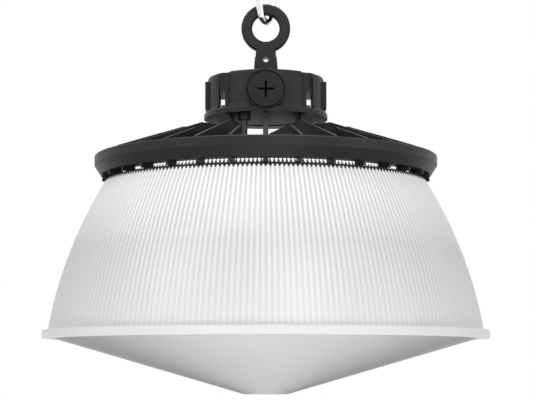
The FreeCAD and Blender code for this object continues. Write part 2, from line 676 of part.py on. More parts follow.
def make_heat_sink():
    """One casting: plate, rim, fins, toes, legs and webs."""
    body = new_body("heat_sink")
    bore = "sizes.collar_radius + sizes.fit_gap"
    section = outline(body, "rim_section", "XZ_Plane", [
        ("0", PLATE_FOOT),
        (bore, PLATE_FOOT),
        (bore, RIM_FOOT),
        ("sizes.rim_foot_radius", RIM_FOOT),
        ("sizes.rim_radius", RIM_FOOT + " + sizes.rim_taper_height"),
        ("sizes.rim_radius", RIM_TOP + " - sizes.rim_inset"),
        ("sizes.rim_radius - sizes.rim_inset", RIM_TOP),
        ("sizes.rim_radius - sizes.rim_wall", RIM_TOP),
        ("sizes.rim_radius - sizes.rim_wall", PLATE_TOP),
        ("0", PLATE_TOP),
    ])
    revolve(body, "plate_and_rim", section)
    long_fin = long_outline(body, "long_fin_outline", "sizes.long_fin_start")
    first = pad(body, "long_fin", long_fin, "sizes.fin_thickness", both_ways=True)
    repeat(body, "long_fins", first, "sizes.fin_count")
    half_step = 180.0 / size("fin_count")
    short_fin = short_outline(body, "short_fin_outline", "sizes.short_fin_start", half_step)
    first = pad(body, "short_fin", short_fin, "sizes.fin_thickness", both_ways=True)
    repeat(body, "short_fins", first, "sizes.fin_count")
    rib = long_outline(body, "rib_outline", "sizes.long_fin_start")
    first = pad(body, "rib", rib, "sizes.rib_thickness", both_ways=True)
    repeat(body, "ribs", first, 4)
    leg_fin = outline(body, "leg_fin_outline", "XZ_Plane", [
        ("sizes.leg_circle", FIN_FOOT),
        ("sizes.fin_peak", FIN_FOOT),
        ("sizes.fin_peak", FIN_PEAK),
        ("sizes.leg_circle", FIN_PEAK),
    ], turn=45)
    first = pad(body, "leg_fin", leg_fin, "sizes.fin_thickness", both_ways=True)
    repeat(body, "leg_fins", first, 4)
    for name, width, count in (
            ("toe", "sizes.toe_width", "2 * sizes.fin_count"),
            ("broad_toe", "sizes.rib_thickness", 4)):
        toe = outline(body, name + "_outline", "XZ_Plane", [
            (bore + " + sizes.toe_inset", SHOULDER),
            ("sizes.rim_foot_radius - sizes.toe_inset", SHOULDER),
            ("sizes.rim_foot_radius - sizes.toe_inset", RIM_FOOT),
            (bore + " + sizes.toe_inset", RIM_FOOT),
        ])
        first = pad(body, name, toe, width, both_ways=True)
        repeat(body, name + "s", first, count)
    leg = square(body, "leg_outline", LEG_PLACE, LEG_PLACE, LEG_HALF,
                 "sizes.leg_chamfer", PLATE_TOP)
    first = pad(body, "leg", leg, "sizes.leg_height")
    repeat(body, "legs", first, 4)
    for side, sign, end in (("right", "", "sizes.web_end"), ("left", "-", "sizes.web_notch")):
        for place_name, offset in (("front", LEG_PLACE), ("back", "-" + LEG_PLACE)):
            reach = "sizes.web_end" if place_name == "back" else end
            lower = WEB_TOP + " - sizes.web_fall * (" + LEG_FACE + " - " + reach + ") / ("
            lower += LEG_FACE + " - sizes.web_end)"
            web = outline(body, "web_outline_" + side + place_name, "XZ_Plane", [
                (sign + "(" + reach + ")", PLATE_TOP),
                (sign + "(" + LEG_PLACE + ")", PLATE_TOP),
                (sign + "(" + LEG_PLACE + ")", WEB_TOP),
                (sign + "(" + LEG_FACE + ")", WEB_TOP),
                (sign + "(" + reach + ")", lower),
            ], offset)
            pad(body, "web_" + side + place_name, web, "sizes.web_thickness", both_ways=True)
    tapped = circles(body, "leg_hole_outline", "XY_Plane", [
        (LEG_PLACE, LEG_PLACE, "sizes.housing_screw_radius + sizes.thread_play")], LEG_TOP)
    depth = ("sizes.housing_screw_length - sizes.screw_seat"
             " - sizes.driver_floor + sizes.hole_spare")
    first = pocket(body, "leg_hole", tapped, depth)
    repeat(body, "leg_holes", first, 4)
    tapped = circles(body, "toe_hole_outline", "XY_Plane", [
        (TOE_CIRCLE, "0", "sizes.small_screw_radius + sizes.thread_play")], SHOULDER)
    first = pocket(body, "toe_hole", tapped,
                   "sizes.small_screw_bite + sizes.toe_height + sizes.hole_spare", back=True)
    repeat(body, "toe_holes", first, "sizes.reflector_screws")
    tapped = circles(body, "window_hole_outline", "XY_Plane", [
        (*WINDOW_SCREW, "sizes.small_screw_radius + sizes.thread_play")], PLATE_FOOT)
    first = pocket(body, "window_hole", tapped, "sizes.small_screw_bite + sizes.hole_spare / 2", back=True)
    repeat(body, "window_holes", first, "sizes.window_screws")
    lead = circles(body, "lead_hole_outline", "XY_Plane", [
        ("sizes.gland_x", "sizes.gland_y", "sizes.cable_radius + sizes.fit_gap")], PLATE_TOP)
    pocket(body, "lead_hole", lead, "sizes.plate_thickness")


def make_light_board():
    board = cylinder("board_disc", "sizes.board_radius", "sizes.board_thickness",
                     z=PLATE_FOOT + " - sizes.board_thickness")
    single(board, "light_board")
    chips = []
    for count, radius in (
            (int(size("chip_count")), "sizes.chip_circle"),
            (2 * int(size("chip_count")), "sizes.chip_circle_outer")):
        for angle in round_the_axis(count):
            across, along = turned(radius, angle)
            chips.append(block(
                "chip", "sizes.chip_size", "sizes.chip_size", "sizes.chip_height",
                across + " - sizes.chip_size / 2", along + " - sizes.chip_size / 2",
                PLATE_FOOT + " - sizes.board_thickness - sizes.chip_height"))
    group("light_chips", chips)


def make_window():
    body = new_body("led_window")
    edge = COLLAR_BORE + " - sizes.fit_gap"
    face = PLATE_FOOT + " - sizes.window_drop"
    flange = PLATE_FOOT + " - sizes.window_gasket"
    inner = "sizes.window_pan - sizes.window_wall"
    section = outline(body, "window_section", "XZ_Plane", [
        ("0", face),
        ("sizes.window_pan", face),
        ("sizes.window_pan", flange + " - sizes.window_wall"),
        (edge, flange + " - sizes.window_wall"),
        (edge, flange),
        (inner, flange),
        (inner, face + " + sizes.window_wall"),
        ("0", face + " + sizes.window_wall"),
    ])
    revolve(body, "window_turned", section)
    hole = circles(body, "window_screw_outline", "XY_Plane", [
        (*WINDOW_SCREW, "sizes.small_screw_radius + sizes.fit_gap")], flange)
    first = pocket(body, "window_screw_hole", hole, "sizes.window_wall")
    repeat(body, "window_screw_holes", first, "sizes.window_screws")
    gasket = ring("window_gasket", edge, inner, flange, "sizes.window_gasket")
    hole = circles(gasket, "gasket_screw_outline", "XY_Plane", [
        (*WINDOW_SCREW, "sizes.small_screw_radius + sizes.fit_gap")], PLATE_FOOT)
    first = pocket(gasket, "gasket_screw_hole", hole, "sizes.window_gasket")
    repeat(gasket, "gasket_screw_holes", first, "sizes.window_screws")


def small_screws(label, count, radius, start, seat, length):
    """Screws that point up; seat is the level under which their heads lie."""
    screws = []
    for index, angle in enumerate(round_the_axis(count, start)):
        across, along = turned(radius, angle)
        head = cylinder("%s_head_%d" % (label, index), "sizes.small_head_radius",
                        "sizes.small_head", across, along, seat + " - sizes.small_head")
        shank = cylinder("%s_shank_%d" % (label, index), "sizes.small_screw_radius",
                         length, across, along, seat)
        screws.append(joined("%s_%d" % (label, index), [head, shank]))
    group(label, screws)


def make_small_screws():
    small_screws("window_screws", int(size("window_screws")), "sizes.window_screw_circle",
                 HALF_STEP, PLATE_FOOT + " - sizes.window_gasket - sizes.window_wall",
                 "sizes.window_gasket + sizes.window_wall + sizes.small_screw_bite")
    small_screws("reflector_screws", int(size("reflector_screws")), TOE_CIRCLE,
                 0.0, SHOULDER + " - sizes.reflector_wall",
                 "sizes.reflector_wall + sizes.toe_height + sizes.small_screw_bite")


GASKET_INNER = "sizes.gasket_radius - sizes.gasket_width / 2"
GASKET_OUTER = "sizes.gasket_radius + sizes.gasket_width / 2"


def make_driver_floor():
    body = new_body("driver_floor")
    section = outline(body, "floor_section", "XZ_Plane", [
        ("0", LEG_TOP + " + sizes.floor_step"),
        ("sizes.floor_step_radius", LEG_TOP + " + sizes.floor_step"),
        ("sizes.floor_step_radius + sizes.floor_step", LEG_TOP),
        ("sizes.driver_floor_radius", LEG_TOP),
        ("sizes.driver_floor_radius", FLOOR_TOP),
        (GASKET_OUTER, FLOOR_TOP),
        (GASKET_OUTER, FLOOR_TOP + " - sizes.gasket_thickness"),
        (GASKET_INNER, FLOOR_TOP + " - sizes.gasket_thickness"),
        (GASKET_INNER, FLOOR_TOP),
        ("0", FLOOR_TOP),
    ])
    revolve(body, "floor_turned", section)
    tab = outline(body, "tab_outline", "XZ_Plane", [
        ("sizes.tab_edge - sizes.tab_reach", LEG_TOP + " - sizes.tab_height"),
        ("sizes.tab_edge", LEG_TOP + " - sizes.tab_height"),
        ("sizes.tab_edge", LEG_TOP),
        ("sizes.tab_edge - sizes.tab_reach", LEG_TOP),
    ], turn=90)
    first = pad(body, "tab", tab, "sizes.rib_thickness", both_ways=True)
    repeat(body, "tabs", first, 2)
    hole = circles(body, "floor_screw_outline", "XY_Plane", [
        (LEG_PLACE, LEG_PLACE, "sizes.housing_screw_radius + sizes.fit_gap")], FLOOR_TOP)
    first = pocket(body, "floor_screw_hole", hole, "sizes.driver_floor")
    repeat(body, "floor_screw_holes", first, 4)
    lead = circles(body, "floor_lead_outline", "XY_Plane", [
        ("sizes.gland_x", "sizes.gland_y", "sizes.cable_radius + sizes.fit_gap")], FLOOR_TOP)
    pocket(body, "floor_lead_hole", lead, "sizes.driver_floor")
    notch = circles(body, "port_notch_outline", "XZ_Plane", [
        ("0", PORT, "sizes.port_boss_radius + sizes.fit_gap")],
        "sizes.port_reach - sizes.port_boss_depth - sizes.fit_gap")
    pocket(body, "port_notch", notch, "sizes.port_boss_depth * 2", back=True)
    ring("housing_gasket", GASKET_OUTER, GASKET_INNER,
         FLOOR_TOP + " - sizes.gasket_thickness", "sizes.gasket_thickness")


GROOVE_PLACE = "sizes.groove_circle * cos(45)"


def make_driver_cover():
    """Round cover with four screw grooves, two air slots, a port and pads."""
    body = new_body("driver_cover")
    bevel = "sizes.driver_rounding * (1 - cos(45))"
    section = outline(body, "cover_section", "XZ_Plane", [
        ("0", FLOOR_TOP),
        ("sizes.driver_floor_radius", FLOOR_TOP),
        ("sizes.driver_radius", FLOOR_TOP + " + sizes.ledge_height"),
        ("sizes.driver_radius", COVER_TOP + " - sizes.driver_rounding"),
        ("sizes.driver_radius - " + bevel, COVER_TOP + " - " + bevel),
        ("sizes.driver_radius - sizes.driver_rounding", COVER_TOP),
        ("0", COVER_TOP),
    ])
    revolve(body, "cover_turned", section)
    side = outline(body, "pad_outline", "XY_Plane", [
        ("sizes.driver_radius - sizes.pad_root", "-sizes.pad_width / 2"),
        ("sizes.pad_reach", "-sizes.pad_width / 2"),
        ("sizes.pad_reach", "sizes.pad_width / 2"),
        ("sizes.driver_radius - sizes.pad_root", "sizes.pad_width / 2"),
    ], FLOOR_TOP + " + sizes.ledge_height")
    first = pad(body, "side_pad", side, "sizes.pad_height")
    repeat(body, "side_pads", first, 2)
    boss = circles(body, "port_boss_outline", "XZ_Plane", [
        ("0", PORT, "sizes.port_boss_radius")], "sizes.port_reach")
    pad(body, "port_boss", boss, "sizes.port_boss_depth", back=True)
    boss = circles(body, "inlet_boss_outline", "XZ_Plane", [
        ("0", INLET, "sizes.inlet_boss")], "-sizes.inlet_seat")
    pad(body, "inlet_boss", boss, "sizes.port_boss_depth")
    room = circles(body, "cavity_outline", "XY_Plane", [
        ("0", "0", "sizes.cavity_radius")], FLOOR_TOP)
    pocket(body, "cavity", room, "sizes.cavity_height", back=True)
    grooves = circles(body, "groove_outline", "XY_Plane", [
        (GROOVE_PLACE, GROOVE_PLACE, "sizes.groove_radius")], SCREW_SEAT)
    first = pocket(body, "screw_groove", grooves, "sizes.driver_height", back=True)
    repeat(body, "screw_grooves", first, 4)
    slot = outline(body, "slot_outline", "XZ_Plane", [
        ("sizes.slot_near", SLOT_FOOT),
        ("sizes.slot_near + sizes.slot_width", SLOT_FOOT),
        ("sizes.slot_near + sizes.slot_width", SLOT_FOOT + " + sizes.slot_height"),
        ("sizes.slot_near", SLOT_FOOT + " + sizes.slot_height"),
    ])
    first = pocket(body, "air_slot", slot, "sizes.driver_radius * 2", both_ways=True)
    repeat(body, "air_slots", first, 2)
    hole = circles(body, "cover_screw_outline", "XY_Plane", [
        (LEG_PLACE, LEG_PLACE, "sizes.housing_screw_radius + sizes.fit_gap")], SCREW_SEAT)
    first = pocket(body, "cover_screw_hole", hole, "sizes.screw_seat")
    repeat(body, "cover_screw_holes", first, 4)
    port = circles(body, "port_outline", "XZ_Plane", [("0", PORT, "sizes.port_radius")])
    pocket(body, "port_hole", port, "sizes.port_reach", back=True)
    recess = circles(body, "recess_outline", "XZ_Plane", [
        ("0", PORT, "sizes.port_recess")], "sizes.port_reach - sizes.port_recess_depth")
    pocket(body, "port_recess_cut", recess, "sizes.port_recess_depth", back=True)
    inlet = circles(body, "inlet_outline", "XZ_Plane", [("0", INLET, "sizes.inlet_thread")])
    pocket(body, "inlet_hole", inlet, "sizes.inlet_seat")
    stud = circles(body, "stud_hole_outline", "XY_Plane", [
        ("0", "0", "sizes.stud_radius + sizes.fit_gap")], COVER_TOP)
    pocket(body, "stud_hole", stud, "sizes.driver_height - sizes.cavity_height")


def make_housing_screws():
    screws = []
    for index, angle in enumerate(round_the_axis(4, 45.0)):
        across, along = turned("sizes.leg_circle", angle)
        head = cylinder("housing_head_%d" % index, "sizes.housing_head_radius",
                        "sizes.housing_head", across, along, SCREW_SEAT)
        shank = cylinder("housing_shank_%d" % index, "sizes.housing_screw_radius",
                         "sizes.housing_screw_length", across, along,
                         SCREW_SEAT + " - sizes.housing_screw_length")
        socket = hexagon("housing_socket_%d" % index, "sizes.socket_radius",
                         "sizes.socket_depth", across, along,
                         SCREW_SEAT + " + sizes.housing_head - sizes.socket_depth")
        solid = joined("housing_blank_%d" % index, [head, shank])
        screws.append(less("housing_screw_%d" % index, solid, socket))
    group("housing_screws", screws)


def make_plug():
    body = new_body("sensor_port_plug")
    floor = "sizes.port_reach - sizes.port_recess_depth"
    head = circles(body, "plug_head_outline", "XZ_Plane", [
        ("0", PORT, "sizes.plug_radius")], floor + " + sizes.plug_seal")
    pad(body, "plug_head_disc", head, "sizes.plug_head")
    neck = circles(body, "plug_neck_outline", "XZ_Plane", [
        ("0", PORT, "sizes.port_radius - sizes.fit_gap")], floor + " + sizes.plug_seal")
    pad(body, "plug_neck_round", neck, "sizes.plug_seal + sizes.plug_neck", back=True)
    front = floor + " + sizes.plug_seal + sizes.plug_head"
    for name, across, along in (
            ("level", "sizes.cross_length / 2", "sizes.cross_width / 2"),
            ("upright", "sizes.cross_width / 2", "sizes.cross_length / 2")):
        slot = outline(body, "cross_" + name, "XZ_Plane", [
            ("-" + across, PORT + " - " + along),
            (across, PORT + " - " + along),
            (across, PORT + " + " + along),
            ("-" + across, PORT + " + " + along),
        ], front)
        pocket(body, "cross_slot_" + name, slot, "sizes.cross_depth")
    seal = new_body("port_seal")
    inner = "sizes.port_radius"
    pair = circles(seal, "port_seal_outline", "XZ_Plane", [
        ("0", PORT, "sizes.plug_radius"),
        ("0", PORT, inner)], floor)
    pad(seal, "port_seal_ring", pair, "sizes.plug_seal")


BOARD_FOOT = FLOOR_TOP + " + sizes.driver_board_rise"
BOARD_TOP = BOARD_FOOT + " + sizes.board_thickness"


def single(item, label):
    """Keeps one plain solid as a sub-part."""
    holder = doc.addObject("Part::Compound", label + "_node")
    holder.Links = [item]
    return keep(holder, label)


def make_driver():
    standoffs = []
    for index, angle in enumerate(round_the_axis(int(size("standoff_count")))):
        across, along = turned("sizes.standoff_circle", angle)
        standoffs.append(cylinder("standoff_%d" % index, "sizes.standoff_radius",
                                  "sizes.driver_board_rise", across, along, FLOOR_TOP))
    group("board_standoffs", standoffs)
    single(cylinder("driver_board_disc", "sizes.driver_board_radius",
                    "sizes.board_thickness", z=BOARD_FOOT), "driver_board")
    single(block("transformer_block", "sizes.transformer_length", "sizes.transformer_width",
                 "sizes.transformer_height", "-sizes.transformer_length - sizes.transformer_gap",
                 "-sizes.transformer_width / 2", BOARD_TOP), "transformer")
    cans = []
    for index, side in enumerate(("", "-")):
        cans.append(cylinder("capacitor_%d" % index, "sizes.capacitor_radius",
                             "sizes.capacitor_height", "sizes.capacitor_x",
                             side + "sizes.capacitor_y", BOARD_TOP))
    group("capacitors", cans)
    single(block("terminal_body", "sizes.terminal_width", "sizes.terminal_length",
                 "sizes.terminal_height", "-sizes.terminal_width / 2",
                 "sizes.standoff_circle - sizes.terminal_length", BOARD_TOP),
           "terminal_block")


def make_lead():
    nut = hexagon("gland_nut", "sizes.gland_radius", "sizes.gland_height",
                  "sizes.gland_x", "sizes.gland_y", LEG_TOP + " - sizes.gland_height")
    bore = cylinder("gland_bore", "sizes.cable_radius + sizes.thread_play",
                    "sizes.gland_height", "sizes.gland_x", "sizes.gland_y",
                    LEG_TOP + " - sizes.gland_height")
    keep(less("lead_gland", nut, bore), "lead_gland")
    single(cylinder("lead_run", "sizes.cable_radius",
                    "sizes.plate_thickness + sizes.leg_height + sizes.driver_floor",
                    "sizes.gland_x", "sizes.gland_y", PLATE_FOOT), "lamp_lead")


def make_inlet():
    """Mains gland at the back: body, nut and rubber seal."""
    seat = "sizes.inlet_seat"
    flange = hexagon("inlet_hexagon", "sizes.inlet_radius", "sizes.inlet_flange",
                     "0", seat, INLET)
    thread = cylinder("inlet_thread_round", "sizes.inlet_thread - sizes.thread_play",
                      "sizes.port_boss_depth", "0",
                      seat + " - sizes.port_boss_depth", INLET)
    spigot = cylinder("inlet_spigot_round", "sizes.inlet_thread - sizes.thread_play",
                      "sizes.inlet_flange + sizes.inlet_spigot", "0", seat, INLET)
    bore = cylinder("inlet_body_bore", "sizes.inlet_thread - sizes.inlet_wall",
                    "sizes.port_boss_depth + sizes.inlet_flange + sizes.inlet_spigot",
                    "0", seat + " - sizes.port_boss_depth", INLET)
    nut_start = seat + " + sizes.inlet_flange + sizes.fit_gap"
    nut = hexagon("inlet_nut_hexagon", "sizes.inlet_radius", "sizes.inlet_nut",
                  "0", nut_start, INLET)
    nut_bore = cylinder("inlet_nut_bore", "sizes.inlet_thread + sizes.thread_play",
                        "sizes.inlet_nut - sizes.inlet_wall", "0", nut_start, INLET)
    nut_mouth = cylinder("inlet_nut_mouth", "sizes.inlet_bore + sizes.inlet_wall",
                         "sizes.inlet_nut", "0", nut_start, INLET)
    seal = cylinder("inlet_seal_round",
                    "sizes.inlet_thread - sizes.inlet_wall - sizes.thread_play",
                    "sizes.inlet_nut - sizes.inlet_wall + sizes.fit_gap",
                    "0", seat + " + sizes.inlet_flange", INLET)
    seal_bore = cylinder("inlet_seal_bore", "sizes.inlet_bore",
                         "sizes.inlet_nut - sizes.inlet_wall + sizes.fit_gap",
                         "0", seat + " + sizes.inlet_flange", INLET)
    for item in (flange, thread, spigot, bore, nut, nut_bore, nut_mouth, seal, seal_bore):
        face_back(item)
    body = joined("inlet_gland_blank", [flange, thread, spigot])
    keep(less("inlet_gland", body, bore), "inlet_gland")
    holes = joined("inlet_nut_holes", [nut_bore, nut_mouth])
    keep(less("inlet_nut_cut", nut, holes), "inlet_gland_nut")
    keep(less("inlet_seal_cut", seal, seal_bore), "inlet_gland_seal")


NECK_TOP = COVER_TOP + " + sizes.neck_height"
TONGUE_ROUND = NECK_TOP + " + sizes.tongue_straight"
ROOF = "sizes.driver_height - sizes.cavity_height"


def neck_outline(body, name, width, height):
    half = "(" + width + " / 2)"
    deep = "(sizes.neck_depth / 2)"
    cut = " - sizes.neck_chamfer)"
    corners = [
        ("(" + half + cut, "-" + deep), (half, "-(" + deep + cut),
        (half, "(" + deep + cut), ("(" + half + cut, deep),
        ("-(" + half + cut, deep), ("-" + half, "(" + deep + cut),
        ("-" + half, "-(" + deep + cut), ("-(" + half + cut, "-" + deep)]
    return outline(body, name, "XY_Plane", corners, height)


def make_eye():
    """Cast eye with its tongue, tapered neck and stud in one piece."""
    body = new_body("hook_eye")
    pair = circles(body, "eye_outline", "XZ_Plane", [
        ("0", EYE, "sizes.eye_radius"), ("0", EYE, "sizes.eye_hole")])
    eye = pad(body, "eye_ring", pair, "sizes.eye_thickness", both_ways=True)
    doc.recompute()
    edges = ["Edge%d" % (index + 1) for index, edge in enumerate(eye.Shape.Edges)
             if isinstance(edge.Curve, Part.Circle)]
    rounding = body.newObject("PartDesign::Chamfer", "eye_edges")
    rounding.Base = (eye, edges)
    rounding.setExpression("Size", "sizes.eye_rounding")
    tongue = circles(body, "tongue_outline", "XZ_Plane", [
        ("0", TONGUE_ROUND, "sizes.tongue_width / 2")])
    pad(body, "tongue_round", tongue, "sizes.tongue_depth", both_ways=True)
    tongue = outline(body, "tongue_foot_outline", "XZ_Plane", [
        ("-sizes.tongue_width / 2", NECK_TOP),
        ("sizes.tongue_width / 2", NECK_TOP),
        ("sizes.tongue_width / 2", TONGUE_ROUND),
        ("-sizes.tongue_width / 2", TONGUE_ROUND),
    ])
    pad(body, "tongue_foot", tongue, "sizes.tongue_depth", both_ways=True)
    foot = neck_outline(body, "neck_foot", "sizes.neck_width", COVER_TOP)
    top = neck_outline(body, "neck_top", "sizes.neck_top_width", NECK_TOP)
    neck = body.newObject("PartDesign::AdditiveLoft", "neck")
    neck.Profile = foot
    neck.Sections = [top]
    neck.Ruled = True
    stud = circles(body, "stud_outline", "XY_Plane", [
        ("0", "0", "sizes.stud_radius")], COVER_TOP)
    pad(body, "stud", stud, "sizes.stud_length", back=True)
    tether = circles(body, "tether_outline", "XZ_Plane", [
        ("0", COVER_TOP + " + sizes.tether_rise", "sizes.tether_radius")])
    pocket(body, "tether_hole", tether, "sizes.neck_depth * 2", both_ways=True)
    under = COVER_TOP + " - (" + ROOF + ")"
    ring("eye_washer", "sizes.washer_radius", "sizes.stud_radius + sizes.fit_gap",
         under + " - sizes.washer_thickness", "sizes.washer_thickness")
    foot_of_nut = under + " - sizes.washer_thickness - sizes.nut_height"
    nut = hexagon("eye_nut_block", "sizes.nut_radius", "sizes.nut_height", z=foot_of_nut)
    bore = cylinder("eye_nut_bore", "sizes.stud_radius + sizes.thread_play",
                    "sizes.nut_height", z=foot_of_nut)
    keep(less("eye_nut", nut, bore), "eye_nut")


def make_link():
    """Pear-shaped link of round bar; its two bends are joined by tangents."""
    item = doc.addObject("Part::Feature", "hang_link")
    bar = worth(item, "sizes.link_bar")
    small = worth(item, "sizes.link_foot_radius")
    large = worth(item, "sizes.link_head_radius")
    length = worth(item, "sizes.link_length")
    foot = worth(item, LINK_FOOT)
    lean = math.asin((large - small) / length)
    low = FreeCAD.Vector(0, 0, foot + small)
    high = FreeCAD.Vector(0, 0, foot + small + length)

    def on(centre, radius, angle):
        return centre + FreeCAD.Vector(0, radius * math.cos(angle), radius * math.sin(angle))

    right_low = on(low, small, -lean)
    left_low = on(low, small, math.pi + lean)
    right_high = on(high, large, -lean)
    left_high = on(high, large, math.pi + lean)
    path = Part.Wire([
        Part.Arc(left_low, on(low, small, -math.pi / 2), right_low).toShape(),
        Part.LineSegment(right_low, right_high).toShape(),
        Part.Arc(right_high, on(high, large, math.pi / 2), left_high).toShape(),
        Part.LineSegment(left_high, left_low).toShape(),
    ])
    start = path.Edges[0].valueAt(path.Edges[0].FirstParameter)
    along = path.Edges[0].tangentAt(path.Edges[0].FirstParameter)
    section = Part.Wire(Part.makeCircle(bar, start, along))
    shape = path.makePipeShell([section], True, True)
    item.Shape = shape
    turn = FreeCAD.Rotation(FreeCAD.Vector(0, 0, 1), worth(item, "sizes.link_turn"))
    item.Placement = FreeCAD.Placement(FreeCAD.Vector(0, 0, 0), turn)
    keep(item, "hang_link")


make_lens()
make_band()
make_band_screw()
ring("lens_seal", INSIDE_BAND + " - sizes.fit_gap",
     INSIDE_BAND + " - sizes.fit_gap - sizes.seal_width", LENS_TOP, "sizes.seal_thickness")
make_reflector()
make_heat_sink()
make_light_board()
make_window()
make_small_screws()
make_driver_floor()
make_driver_cover()
make_housing_screws()
make_plug()
make_driver()
make_lead()
make_inlet()
make_eye()
make_link()
doc.recompute()


def check():
    """Stops before writing if anything failed to build."""
    for item in doc.Objects:
        if "Invalid" in item.State or "Error" in item.State:
            raise RuntimeError("%s failed: %s" % (item.Name, item.State))
    for item in subparts:
        if item.Shape.isNull() or not item.Shape.isValid():
            raise RuntimeError("%s has no valid shape" % item.Label)


check()
os.makedirs("parts", exist_ok=True)
for item in subparts:
    item.Shape.exportStep("parts/%s.step" % item.Label)
    print(item.Label, len(item.Shape.Solids), round(item.Shape.Volume / 1000, 2), "cm3")
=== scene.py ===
import math

import bpy
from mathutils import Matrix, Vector


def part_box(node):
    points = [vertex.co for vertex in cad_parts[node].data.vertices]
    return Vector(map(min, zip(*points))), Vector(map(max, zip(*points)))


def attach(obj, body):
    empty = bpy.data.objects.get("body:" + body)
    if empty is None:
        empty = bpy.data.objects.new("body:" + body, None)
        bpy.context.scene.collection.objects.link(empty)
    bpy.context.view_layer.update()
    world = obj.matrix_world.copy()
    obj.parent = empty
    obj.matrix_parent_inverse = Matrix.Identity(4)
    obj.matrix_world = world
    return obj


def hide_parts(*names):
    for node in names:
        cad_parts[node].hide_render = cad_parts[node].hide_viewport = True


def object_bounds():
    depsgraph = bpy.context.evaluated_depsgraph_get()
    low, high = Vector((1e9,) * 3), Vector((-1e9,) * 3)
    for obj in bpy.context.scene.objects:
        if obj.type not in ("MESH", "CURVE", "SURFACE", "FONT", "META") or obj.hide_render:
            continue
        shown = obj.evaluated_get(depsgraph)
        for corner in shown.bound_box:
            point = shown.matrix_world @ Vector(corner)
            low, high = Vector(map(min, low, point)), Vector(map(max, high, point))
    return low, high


# Reflector, in metres
FOOT_RADIUS = 0.1995
SHOULDER_RADIUS = 0.1476
BELL_BOW = 0.390
BELL_WALL = 0.0026
FLUTES = 240
FLUTE_DEPTH = 0.0008
FOOT_FLUTE_DEPTH = 0.0002
COLLAR_FLUTE_DEPTH = 0.0032
FLUTE_COLUMNS = 4
BELL_ROWS = 40
COLLAR_RADIUS = 0.1382
SHOULDER_LEDGE = 0.0015
BAND_PLAY = 0.0004
FOOT_SPLIT = 0.4

# Painted reflection of the dark rim along the bell's top, and the painted glow of the collar's
# teeth, in metres
PAINTED_RIM_BAND = 0.0018
PAINTED_RIM_TEETH = 0.0022
PAINTED_RIM_TOP = 0.0005
TOOTH_START = 0.0012
TOOTH_TIP = 0.0006
TOOTH_HEIGHT = 0.0050

# Tones of the bell and the cone, as parts of white, most of them painted light and shade: the bell
# lighter by height, its shaded grooves, the rim's painted reflection, the teeth's painted glow and
# the cone's painted dark sides
TOOTH_PAINTED_GLOW = 0.85
PAINTED_RIM_TONE = 0.030
BELL_FOOT_TONE = 0.64
BELL_MIDDLE_TONE = 0.61
BELL_TOP_TONE = 0.92
GROOVE_SHADE = 0.36
FOOT_GROOVE_SHARE = 0.25
CONE_SIDE_SHADE_TONE = 0.10

# Layer Weight of the cone where its painted side shade, a dark gloss, begins and where it is whole
CONE_FRONT = 0.68
CONE_SIDE = 0.90

# Surfaces: height of the bump in metres, drift of the roughness, angles of kept edges
BUMP_HEIGHT = 0.0002
ROUGH_DRIFT = 0.06
SHARP_ANGLE = math.radians(35.0)
SOFT_ANGLE = math.radians(40.0)
SOFT_STEPS = 2
CASTING_EDGE = 0.0005
MOULDED_EDGE = 0.0004

# Link, in metres
LINK_BAR = 0.0032
LINK_FOOT_RADIUS = 0.009
LINK_HEAD_RADIUS = 0.018
LINK_LENGTH = 0.034
LINK_TURN = math.radians(-34.0)
LINK_STEPS = 120
LINK_SIDES = 32

# Near-black sheet in the plug's cross slot, painted shade of the slot's depth, in metres
CROSS_HALF_LENGTH = 0.0074
CROSS_HALF_WIDTH = 0.0010
CROSS_DEPTH = 0.0014
CROSS_SHADE_SHEET = 0.0002

# Camera and floor, in metres
CAMERA_BACK = 1.517
CAMERA_SIDE = 0.00065
CAMERA_RISE = 0.023
CAMERA_TILT = math.radians(5.88)
CAMERA_LENS = 110.77
CAMERA_SENSOR = 36.0
CAMERA_REACH = 50.0
FLOOR_LEVEL = -1.2
FLOOR_HALF = 3.0
FLOOR_RINGS = 24
FLOOR_SIDES = 64

# Part of white that the studio walls send to matt surfaces
AMBIENT = 0.46

# Lamps: name, place, level they aim at on the axis, width, height, watts
LAMPS = (
    ("key_front", (0.55, -1.60, 0.75), -0.25, 0.7, 0.7, 13.0),
    ("low_front", (0.0, -1.40, -1.05), -0.35, 0.6, 0.4, 8.0),
    ("key_left", (-1.30, -0.95, 0.80), -0.25, 0.6, 0.9, 12.0),
    ("fill_right", (1.50, -0.80, 0.10), -0.25, 0.6, 1.0, 3.5),
    ("top", (0.0, 0.2, 1.2), -0.2, 1.0, 1.0, 7.0),
)


def nodes_of(name):
    """A new material with its Principled shader."""
    material = bpy.data.materials.new(name)
    material.use_nodes = True
    return material, material.node_tree, material.node_tree.nodes["Principled BSDF"]


def grey(value):
    """A neutral colour from its linear value."""
    return (value, value, value, 1.0)


def noise(tree, place, scale, detail=3.0):
    """Noise in the object's own metres."""
    node = tree.nodes.new("ShaderNodeTexNoise")
    node.inputs["Scale"].default_value = scale
    node.inputs["Detail"].default_value = detail
    tree.links.new(place.outputs["Object"], node.inputs["Vector"])
    return node


def ramp(tree, source, low, high, start=0.0, end=1.0):
    """Colour ramp between two colours, driven by one number."""
    node = tree.nodes.new("ShaderNodeValToRGB")
    node.color_ramp.elements[0].color = low
    node.color_ramp.elements[1].color = high
    node.color_ramp.elements[0].position = start
    node.color_ramp.elements[1].position = end
    tree.links.new(source, node.inputs["Fac"])
    return node


def spread(tree, source, low, high):
    """Turns a number from 0 to 1 into one from low to high."""
    node = tree.nodes.new("ShaderNodeMapRange")
    node.inputs["To Min"].default_value = low
    node.inputs["To Max"].default_value = high
    tree.links.new(source, node.inputs["Value"])
    return node.outputs["Result"]


